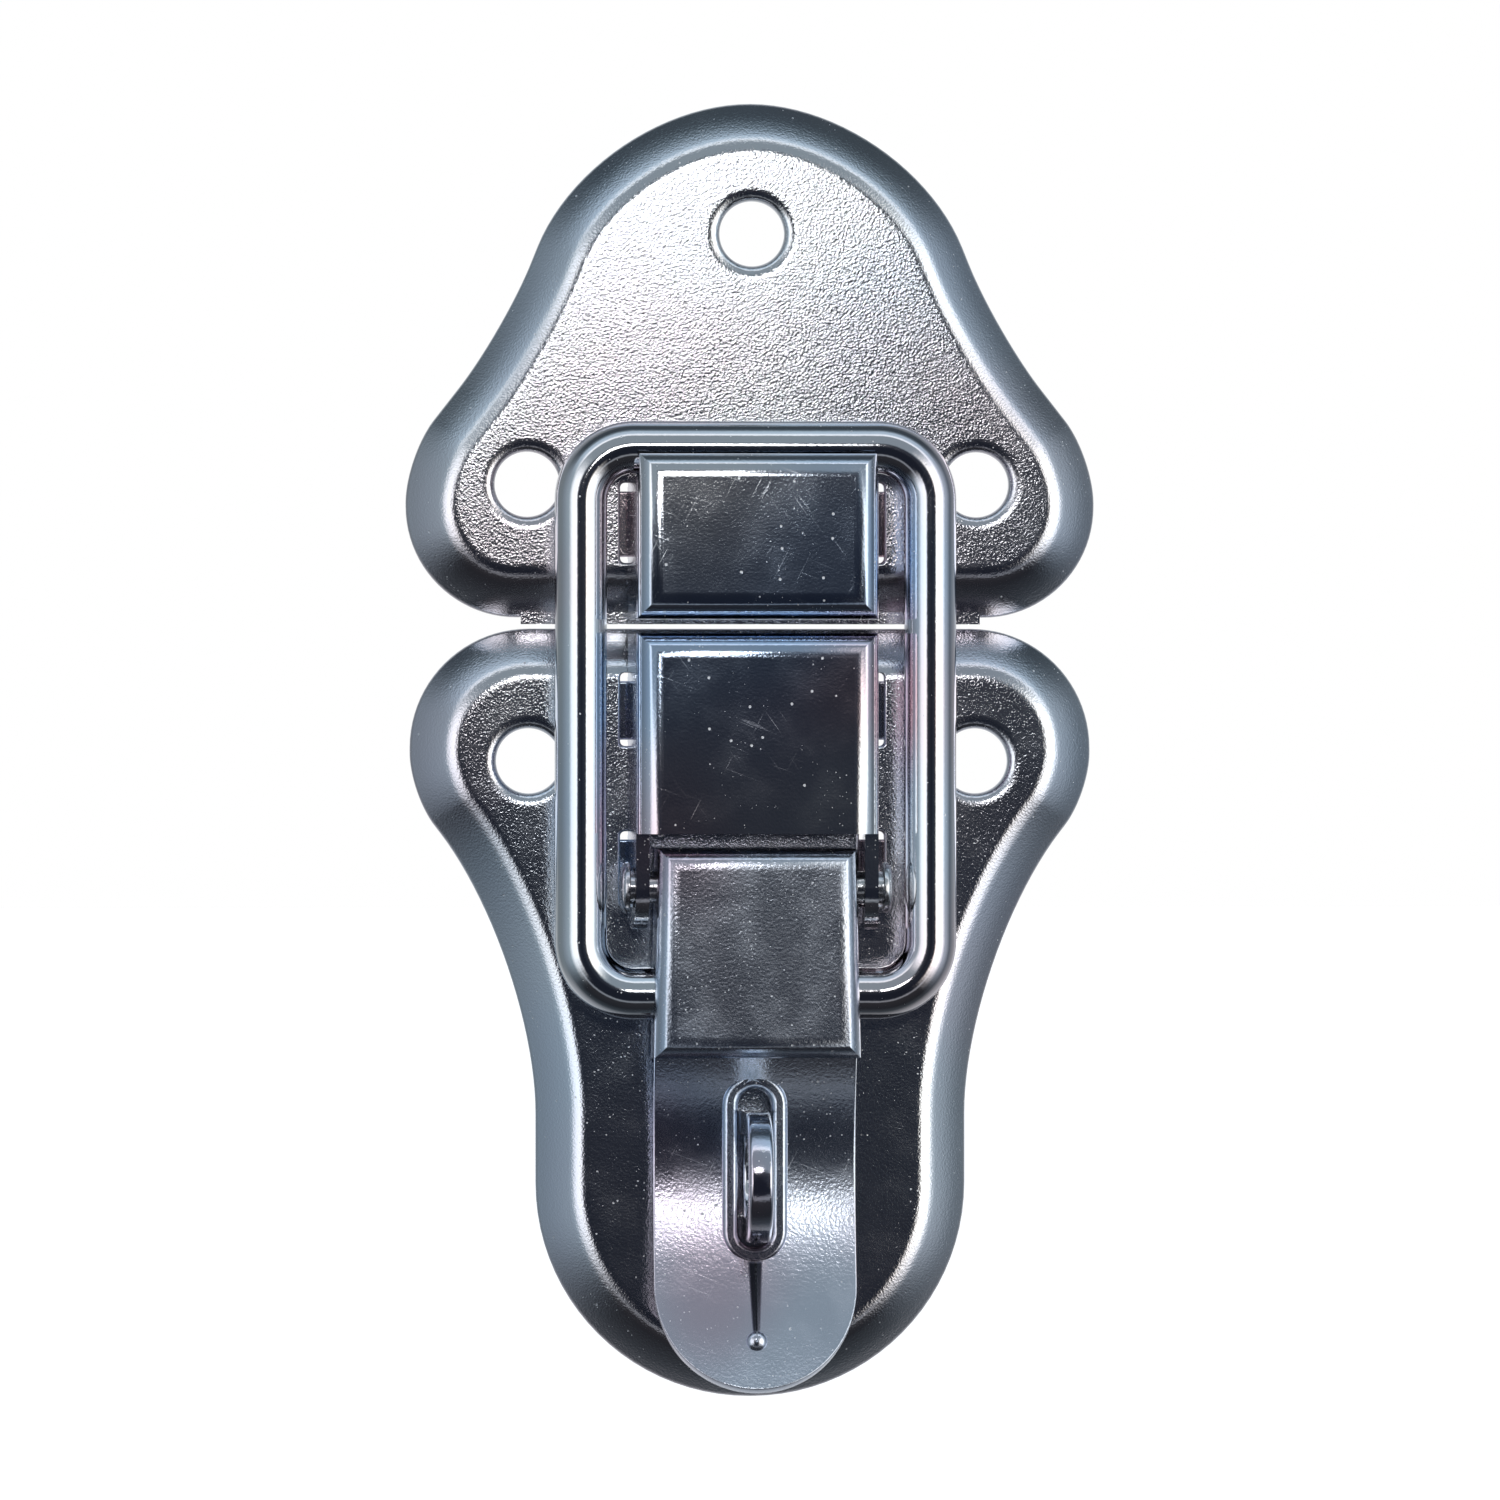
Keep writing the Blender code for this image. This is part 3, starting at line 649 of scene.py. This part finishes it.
def eye_outline(ends, radius):
    """Four corners seen from the side, from two ends given as (depth, corner radius)."""
    (near_end, near_radius), (far_end, far_radius) = ends
    low, high = EYE_Z / MM - radius, EYE_Z / MM + radius
    return [
        (near_end, low, near_radius), (far_end, low, far_radius),
        (far_end, high, far_radius), (near_end, high, near_radius),
    ]


def make_padlock_eye():
    """A flat eye with a round front and a round hole, staked behind the base plate."""
    outline = eye_outline(((EYE_FOOT, 0), (EYE_FRONT, EYE_RADIUS - 0.01)), EYE_RADIUS)
    eye = prism("padlock_eye_plate", "side", outline, -0.9 * MM, 0.9 * MM, segments=24)
    hole = eye_outline([(end, EYE_HOLE_RADIUS - 0.01) for end in EYE_HOLE], EYE_HOLE_RADIUS)
    combine(eye, prism("hole", "side", hole, -5 * MM, 5 * MM, segments=20), "DIFFERENCE")
    soften(eye, 0.3 * MM, angle=60.0, segments=4)
    tenon_depths = (STAKE_FRONT - 0.1 * MM, EYE_FOOT * MM + SHEET)
    tenon_z = (EYE_Z - 2.6 * MM, EYE_Z + 2.6 * MM)
    combine(eye, block("tenon", (-0.85 * MM, 0.85 * MM), tenon_depths, tenon_z), "UNION")
    head_z = (EYE_Z - 3.35 * MM, EYE_Z + 3.35 * MM)
    head = block("stake", (-1.65 * MM, 1.65 * MM), (STAKE_BACK, STAKE_FRONT), head_z)
    soften(head, 0.2 * MM, segments=3)
    combine(eye, head, "UNION")
    return eye


# ---- Finishes ----


def node(tree, kind, **settings):
    item = tree.nodes.new(kind)
    for key, value in settings.items():
        setattr(item, key, value)
    return item


def feed(tree, target, value):
    """Give a socket a link or a plain value."""
    if isinstance(value, bpy.types.NodeSocket):
        tree.links.new(value, target)
    else:
        target.default_value = value


def maths(tree, operation, a, b=0.0, clamp=False):
    item = node(tree, "ShaderNodeMath", operation=operation, use_clamp=clamp)
    feed(tree, item.inputs[0], a)
    feed(tree, item.inputs[1], b)
    return item.outputs[0]


def steps(tree, value, low, high, to_low=0.0, to_high=1.0):
    """A smooth step of the value from low to high."""
    item = node(tree, "ShaderNodeMapRange", interpolation_type="SMOOTHSTEP")
    for socket, given in zip(item.inputs, (value, low, high, to_low, to_high)):
        feed(tree, socket, given)
    return item.outputs[0]


def blend_colours(tree, share, a, b, kind="MIX"):
    item = node(tree, "ShaderNodeMix", data_type="RGBA", blend_type=kind)
    feed(tree, item.inputs[0], share)
    feed(tree, item.inputs[6], a)
    feed(tree, item.inputs[7], b)
    return item.outputs[2]


def noise(tree, place, scale, detail=2.0, rough=0.5):
    item = node(tree, "ShaderNodeTexNoise")
    feed(tree, item.inputs["Vector"], place)
    feed(tree, item.inputs["Scale"], scale)
    item.inputs["Detail"].default_value = detail
    item.inputs["Roughness"].default_value = rough
    return item.outputs["Fac"]


def new_group(name, inputs, outputs):
    """A shader node group with named inputs and outputs."""
    tree = bpy.data.node_groups.new(name, "ShaderNodeTree")
    for label, kind, value in inputs:
        socket = tree.interface.new_socket(name=label, in_out="INPUT", socket_type=kind)
        socket.default_value = value
    for label, kind in outputs:
        tree.interface.new_socket(name=label, in_out="OUTPUT", socket_type=kind)
    return tree, node(tree, "NodeGroupInput").outputs, node(tree, "NodeGroupOutput").inputs


FLOAT, VECTOR, COLOUR = "NodeSocketFloat", "NodeSocketVector", "NodeSocketColor"


def pebble_group():
    """Fine pebbled grain of the rolled sheet, as a height from 0 to 1."""
    tree, given, out = new_group(
        "pebble grain", [("Place", VECTOR, (0, 0, 0)), ("Per metre", FLOAT, 3000.0)], [("Height", FLOAT)]
    )
    coarse = noise(tree, given["Place"], given["Per metre"], 1.0, 0.4)
    fine = noise(tree, given["Place"], maths(tree, "MULTIPLY", given["Per metre"], 2.3), 1.0, 0.4)
    coarse, fine = maths(tree, "MULTIPLY", coarse, 0.7), maths(tree, "MULTIPLY", fine, 0.3)
    feed(tree, out["Height"], maths(tree, "ADD", coarse, fine))
    return tree


def speck_group():
    """Sparse pin marks in the plating, as a mask."""
    tree, given, out = new_group(
        "pin specks",
        [
            ("Place", VECTOR, (0, 0, 0)), ("Per metre", FLOAT, 1500.0),
            ("Share", FLOAT, 0.4), ("Size", FLOAT, 0.12),
        ],
        [("Mask", FLOAT)],
    )
    cells = node(tree, "ShaderNodeTexVoronoi", feature="F1")
    feed(tree, cells.inputs["Vector"], given["Place"])
    feed(tree, cells.inputs["Scale"], given["Per metre"])
    split = node(tree, "ShaderNodeSeparateColor")
    feed(tree, split.inputs[0], cells.outputs["Color"])
    chosen = maths(tree, "LESS_THAN", split.outputs[0], given["Share"])
    size = maths(tree, "MULTIPLY", given["Size"], maths(tree, "ADD", split.outputs[1], 0.35))
    inside = steps(tree, cells.outputs["Distance"], size, maths(tree, "MULTIPLY", size, 0.4))
    feed(tree, out["Mask"], maths(tree, "MULTIPLY", inside, chosen))
    return tree


def scratch_group():
    """Hairline scratches in three directions, gathered in clusters, as a mask."""
    tree, given, out = new_group(
        "hairline scratches", [("Place", VECTOR, (0, 0, 0)), ("Amount", FLOAT, 0.5)], [("Mask", FLOAT)]
    )
    total = None
    for turn, offset in ((0.62, 0.0), (-0.48, 3.0), (1.2, 7.0)):
        turned = node(tree, "ShaderNodeMapping")
        feed(tree, turned.inputs["Vector"], given["Place"])
        turned.inputs["Rotation"].default_value = (0, turn, 0)
        stretched = node(tree, "ShaderNodeMapping")
        feed(tree, stretched.inputs["Vector"], turned.outputs[0])
        stretched.inputs["Location"].default_value = (offset, offset, 0)
        stretched.inputs["Scale"].default_value = (9000.0, 300.0, 260.0)
        line = steps(tree, noise(tree, stretched.outputs[0], 1.0, 0.0), 0.74, 0.84)
        total = line if total is None else maths(tree, "MAXIMUM", total, line)
    cluster = steps(tree, noise(tree, given["Place"], 150.0, 2.0), 0.42, 0.72)
    clustered = maths(tree, "MULTIPLY", total, cluster)
    feed(tree, out["Mask"], maths(tree, "MULTIPLY", clustered, given["Amount"]))
    return tree


def tint_group():
    """Slow changes of tone in the plating: neutral, a blue cast and a warm maroon cast."""
    tree, given, out = new_group(
        "plating tint",
        [
            ("Place", VECTOR, (0, 0, 0)), ("Plain", COLOUR, (0.7, 0.72, 0.74, 1)),
            ("Strength", FLOAT, 0.5),
        ],
        [("Colour", COLOUR)],
    )
    blue = blend_colours(tree, 1.0, given["Plain"], (0.66, 0.80, 1.0, 1), "MULTIPLY")
    warm = blend_colours(tree, 1.0, given["Plain"], (1.0, 0.74, 0.76, 1), "MULTIPLY")
    blue_patches = steps(tree, noise(tree, given["Place"], 45.0, 1.0), 0.4, 0.68)
    blue_share = maths(tree, "MULTIPLY", blue_patches, given["Strength"])
    moved = node(tree, "ShaderNodeMapping")
    feed(tree, moved.inputs["Vector"], given["Place"])
    moved.inputs["Location"].default_value = (0.31, 0.17, 0.53)
    warm_patches = steps(tree, noise(tree, moved.outputs[0], 50.0, 1.0), 0.45, 0.7)
    warm_share = maths(tree, "MULTIPLY", warm_patches, given["Strength"])
    mixed = blend_colours(tree, blue_share, given["Plain"], blue)
    feed(tree, out["Colour"], blend_colours(tree, warm_share, mixed, warm))
    return tree


def painted_shade_group():
    """Painted shade on the flanks of the lever's bead, narrowing towards the tip, as a mask; it stands
    in for the dark reflection along the bead.
    """
    tree, given, out = new_group("bead painted shade", [("Place", VECTOR, (0, 0, 0))], [("Mask", FLOAT)])
    split = node(tree, "ShaderNodeSeparateXYZ")
    feed(tree, split.inputs[0], given["Place"])
    x, y, z = split.outputs
    share = maths(tree, "DIVIDE", maths(tree, "SUBTRACT", BEAD_TOP_Z, z), 5.2 * MM, clamp=True)
    half = maths(tree, "SUBTRACT", 0.62 * MM, maths(tree, "MULTIPLY", share, 0.3 * MM))
    inside = steps(tree, maths(tree, "ABSOLUTE", x), half, maths(tree, "MULTIPLY", half, 0.6))
    upper_end = steps(tree, z, -45.7 * MM, -46.2 * MM)
    ends = maths(tree, "MULTIPLY", upper_end, steps(tree, z, -51.3 * MM, -50.9 * MM))
    surface = maths(tree, "ADD", 5.8 * MM, maths(tree, "MULTIPLY", share, 1.6 * MM))
    front = steps(tree, maths(tree, "ADD", y, surface), 0.0, -0.1 * MM)
    feed(tree, out["Mask"], maths(tree, "MULTIPLY", maths(tree, "MULTIPLY", inside, ends), front))
    return tree


GROUPS = {}
BARE_BRIGHT = (0.95, 0.96, 0.98, 1)
# Colour of the painted shade on the bead's flanks: a dark reflection painted into the colour
PAINTED_SHADE = (0.035, 0.037, 0.045, 1)


def use_group(tree, name, **values):
    item = node(tree, "ShaderNodeGroup", node_tree=GROUPS[name])
    for key, value in values.items():
        feed(tree, item.inputs[key.replace("_", " ")], value)
    return item.outputs[0]


def chrome(name, plain, rough, grain, grain_height, specks, scratches, tint, painted_shade=False):
    """Chrome plate with grain (per metre), pin specks, scratches and tints in its colour and gloss."""
    material = bpy.data.materials.new(name)
    material.use_nodes = True
    tree = material.node_tree
    shader = tree.nodes["Principled BSDF"]
    place = node(tree, "ShaderNodeTexCoord").outputs["Object"]
    colour = use_group(tree, "plating tint", Place=place, Plain=(*plain, 1), Strength=tint)
    pebbles = use_group(tree, "pebble grain", Place=place, Per_metre=grain)
    large = use_group(tree, "pin specks", Place=place, Per_metre=1300.0, Share=specks, Size=0.13)
    small = use_group(tree, "pin specks", Place=place, Per_metre=3600.0, Share=specks, Size=0.2)
    gathered = steps(tree, noise(tree, place, 260.0, 1.0), 0.4, 0.65)
    dots = maths(tree, "MAXIMUM", large, maths(tree, "MULTIPLY", small, gathered))
    lines = use_group(tree, "hairline scratches", Place=place, Amount=scratches)
    marks = maths(tree, "MAXIMUM", dots, lines)
    colour = blend_colours(tree, marks, colour, BARE_BRIGHT)
    # Painted shade: the bead's flanks darkened in the colour, standing in for a dark reflection
    if painted_shade:
        flanks = use_group(tree, "bead painted shade", Place=place)
        colour = blend_colours(tree, flanks, colour, PAINTED_SHADE)
    haze = steps(tree, noise(tree, place, 300.0, 3.0), 0.4, 0.75, rough, rough * 1.3)
    gloss = maths(tree, "ADD", haze, maths(tree, "MULTIPLY", marks, 0.42))
    height = maths(tree, "SUBTRACT", pebbles, maths(tree, "MULTIPLY", marks, 0.5))
    bump = node(tree, "ShaderNodeBump")
    bump.inputs["Strength"].default_value = 1.0
    bump.inputs["Distance"].default_value = grain_height
    feed(tree, bump.inputs["Height"], height)
    feed(tree, shader.inputs["Base Color"], colour)
    feed(tree, shader.inputs["Roughness"], gloss)
    feed(tree, shader.inputs["Normal"], bump.outputs[0])
    shader.inputs["Metallic"].default_value = 1.0
    return material


def make_finishes():
    GROUPS["pebble grain"] = pebble_group()
    GROUPS["pin specks"] = speck_group()
    GROUPS["hairline scratches"] = scratch_group()
    GROUPS["plating tint"] = tint_group()
    GROUPS["bead painted shade"] = painted_shade_group()
    return {
        "pebbled": chrome(
            "pebbled chrome", (0.76, 0.78, 0.81), rough=0.12, grain=6200.0, grain_height=0.017 * MM,
            specks=0.25, scratches=0.05, tint=0.3,
        ),
        "bright": chrome(
            "bright chrome", (0.78, 0.80, 0.83), rough=0.10, grain=5000.0, grain_height=0.006 * MM,
            specks=0.4, scratches=0.35, tint=0.9,
        ),
        # The lever's finish also carries the painted shade on its bead's flanks
        "worn": chrome(
            "worn chrome", (0.68, 0.73, 0.82), rough=0.19, grain=4600.0, grain_height=0.018 * MM,
            specks=0.35, scratches=0.2, tint=0.8, painted_shade=True,
        ),
        "wire": chrome(
            "wire chrome", (0.76, 0.78, 0.80), rough=0.07, grain=2500.0, grain_height=0.004 * MM,
            specks=0.12, scratches=0.2, tint=0.5,
        ),
        "rivet": chrome(
            "rivet chrome", (0.66, 0.67, 0.69), rough=0.18, grain=2500.0, grain_height=0.03 * MM,
            specks=0.3, scratches=0.3, tint=0.5,
        ),
    }


# ---- Camera, light and floor ----

CAMERA_AZIMUTH = math.radians(-3.5)
CAMERA_DISTANCE = 0.9
VIEW_WIDTH = 0.111

# The room that the plating mirrors: its brightness by the angle from straight in front
DARK, NEARLY_DARK = (0.013, 0.016, 0.025), (0.03, 0.036, 0.05)
WHITE, PAPER = (1.25, 1.3, 1.35), (0.85, 0.87, 0.9)
ROOM_UP = [
    (0, DARK), (13, NEARLY_DARK), (18, (0.27, 0.32, 0.36)), (49, (0.28, 0.33, 0.37)), (53, WHITE),
    (57, (0.9, 1.0, 1.1)), (62, (0.5, 0.62, 0.74)), (70, (0.5, 0.62, 0.74)), (77, (0.16, 0.21, 0.25)),
    (84, (0.05, 0.065, 0.08)), (100, (0.06, 0.075, 0.09)), (118, (0.3, 0.33, 0.36)), (180, PAPER),
]
ROOM_LEFT = [
    (0, DARK), (13, NEARLY_DARK), (17, (0.1, 0.1, 0.12)), (22, (1.5, 1.52, 1.55)),
    (44, (1.2, 1.26, 1.32)), (56, (0.36, 0.44, 0.5)), (80, (0.25, 0.3, 0.35)),
    (95, (0.2, 0.24, 0.27)), (120, (0.2, 0.23, 0.25)), (180, PAPER),
]
ROOM_RIGHT = [
    (0, DARK), (14, NEARLY_DARK), (18, (0.06, 0.05, 0.05)), (24, (2.0, 1.95, 1.85)),
    (50, (1.7, 1.75, 1.8)), (64, (0.5, 0.58, 0.66)), (78, (0.34, 0.4, 0.46)),
    (92, (0.13, 0.16, 0.19)), (120, (0.3, 0.32, 0.34)), (180, PAPER),
]
ROOM_DOWN = [
    (0, DARK), (30, DARK), (36, (0.3, 0.32, 0.35)), (42, (0.03, 0.03, 0.035)),
    (70, (0.02, 0.022, 0.027)), (88, (0.05, 0.06, 0.07)), (110, (0.3, 0.31, 0.33)), (180, PAPER),
]


def add_camera():
    low, high = cad_box
    target = Vector((0.0, 0.0, (low[2] + high[2]) / 2))
    data = bpy.data.cameras.new("camera")
    data.angle = 2 * math.atan(VIEW_WIDTH / 2 / CAMERA_DISTANCE)
    data.clip_start = 0.01
    data.clip_end = 20.0
    camera = bpy.data.objects.new("camera", data)
    towards = Vector((math.sin(CAMERA_AZIMUTH), -math.cos(CAMERA_AZIMUTH), 0.0))
    camera.location = target + towards * CAMERA_DISTANCE
    camera.rotation_euler = (-towards).to_track_quat("-Z", "Y").to_euler()
    bpy.context.scene.collection.objects.link(camera)
    bpy.context.scene.camera = camera


def ramp(tree, value, stops):
    """A colour ramp over the angle from straight in front, in degrees up to 180."""
    item = node(tree, "ShaderNodeValToRGB")
    elements = item.color_ramp.elements
    while len(elements) > 1:
        elements.remove(elements[-1])
    for i, (angle, colour) in enumerate(stops):
        element = elements[0] if i == 0 else elements.new(angle / 180.0)
        element.position = angle / 180.0
        element.color = (*colour, 1)
    feed(tree, item.inputs[0], value)
    return item.outputs[0]


def studio_world():
    """White paper for the eye; for the plating, a dark room in front with soft panels round it."""
    world = bpy.data.worlds.new("studio")
    bpy.context.scene.world = world
    world.use_nodes = True
    tree = world.node_tree
    tree.nodes.clear()
    direction = node(tree, "ShaderNodeTexCoord").outputs["Generated"]
    split = node(tree, "ShaderNodeSeparateXYZ")
    feed(tree, split.inputs[0], direction)
    x, y, z = split.outputs
    angle = maths(tree, "DIVIDE", maths(tree, "ARCCOSINE", maths(tree, "MULTIPLY", y, -1.0)), math.pi)
    squares = maths(tree, "ADD", maths(tree, "MULTIPLY", x, x), maths(tree, "MULTIPLY", z, z))
    across = maths(tree, "SQRT", squares)
    lift = maths(tree, "DIVIDE", z, maths(tree, "MAXIMUM", across, 0.0001))
    swing = maths(tree, "DIVIDE", x, maths(tree, "MAXIMUM", across, 0.0001))
    room_sides = (ROOM_UP, ROOM_LEFT, ROOM_RIGHT, ROOM_DOWN)
    up, left, right, down = [ramp(tree, angle, stops) for stops in room_sides]
    sides = blend_colours(tree, steps(tree, swing, -0.1, 0.1), left, right)
    upper = blend_colours(tree, steps(tree, lift, 0.35, 0.8), sides, up)
    room = blend_colours(tree, steps(tree, lift, -0.25, -0.75), upper, down)
    seen = node(tree, "ShaderNodeBackground")
    seen.inputs[0].default_value = (1, 1, 1, 1)
    mirrored_room = node(tree, "ShaderNodeBackground")
    feed(tree, mirrored_room.inputs[0], room)
    mix = node(tree, "ShaderNodeMixShader")
    feed(tree, mix.inputs[0], node(tree, "ShaderNodeLightPath").outputs["Is Camera Ray"])
    feed(tree, mix.inputs[1], mirrored_room.outputs[0])
    feed(tree, mix.inputs[2], seen.outputs[0])
    feed(tree, node(tree, "ShaderNodeOutputWorld").inputs[0], mix.outputs[0])


def add_panel(name, place, size, radiance, aim):
    """A soft panel: an area light of the given brightness, aimed at a point."""
    data = bpy.data.lights.new(name, "AREA")
    data.shape = "RECTANGLE"
    data.size = size[0]
    data.size_y = size[1]
    data.energy = radiance * math.pi * size[0] * size[1]
    panel = bpy.data.objects.new(name, data)
    panel.location = place
    panel.rotation_euler = (Vector(aim) - Vector(place)).to_track_quat("-Z", "Y").to_euler()
    panel.visible_camera = False
    bpy.context.scene.collection.objects.link(panel)


def add_floor():
    low, _ = cad_box
    start_fresh()
    bpy.ops.mesh.primitive_plane_add(size=6.0, location=(0, 0, low[2] - 3 * MM))
    floor = settle("floor")
    material = bpy.data.materials.new("pale floor")
    material.use_nodes = True
    shader = material.node_tree.nodes["Principled BSDF"]
    shader.inputs["Base Color"].default_value = (0.9, 0.9, 0.9, 1)
    shader.inputs["Roughness"].default_value = 0.9
    shader.inputs["Emission Color"].default_value = (1, 1, 1, 1)
    shader.inputs["Emission Strength"].default_value = 0.75
    floor.data.materials.append(material)
    floor.visible_glossy = False


# ---- The latch ----


def fit_out(piece, node_name, body, finish):
    shade(piece)
    piece.data.materials.clear()
    piece.data.materials.append(finish)
    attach(piece, body)
    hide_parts(node_name)


def build():
    start_fresh()
    bpy.context.scene.view_settings.view_transform = "Standard"
    add_camera()
    studio_world()
    add_panel("upper_panel", (-0.002, -0.45, 0.080), (0.072, 0.056), 6.4, (-0.002, 0.0, 0.080))
    add_floor()
    finishes = make_finishes()
    fit_out(make_base_plate(), "base_plate", "base", finishes["pebbled"])
    fit_out(make_keeper_plate(), "keeper_plate", "keeper", finishes["pebbled"])
    fit_out(make_lever_bracket(), "lever_bracket", "base", finishes["bright"])
    fit_out(make_keeper_hook(), "keeper_hook", "keeper", finishes["bright"])
    fit_out(make_padlock_eye(), "padlock_eye", "base", finishes["bright"])
    fit_out(make_pivot_pin(), "lever_pivot_pin", "base", finishes["rivet"])
    fit_out(make_lever(), "lever", "lever", finishes["worn"])
    fit_out(make_bail(), "bail", "bail", finishes["wire"])


build()
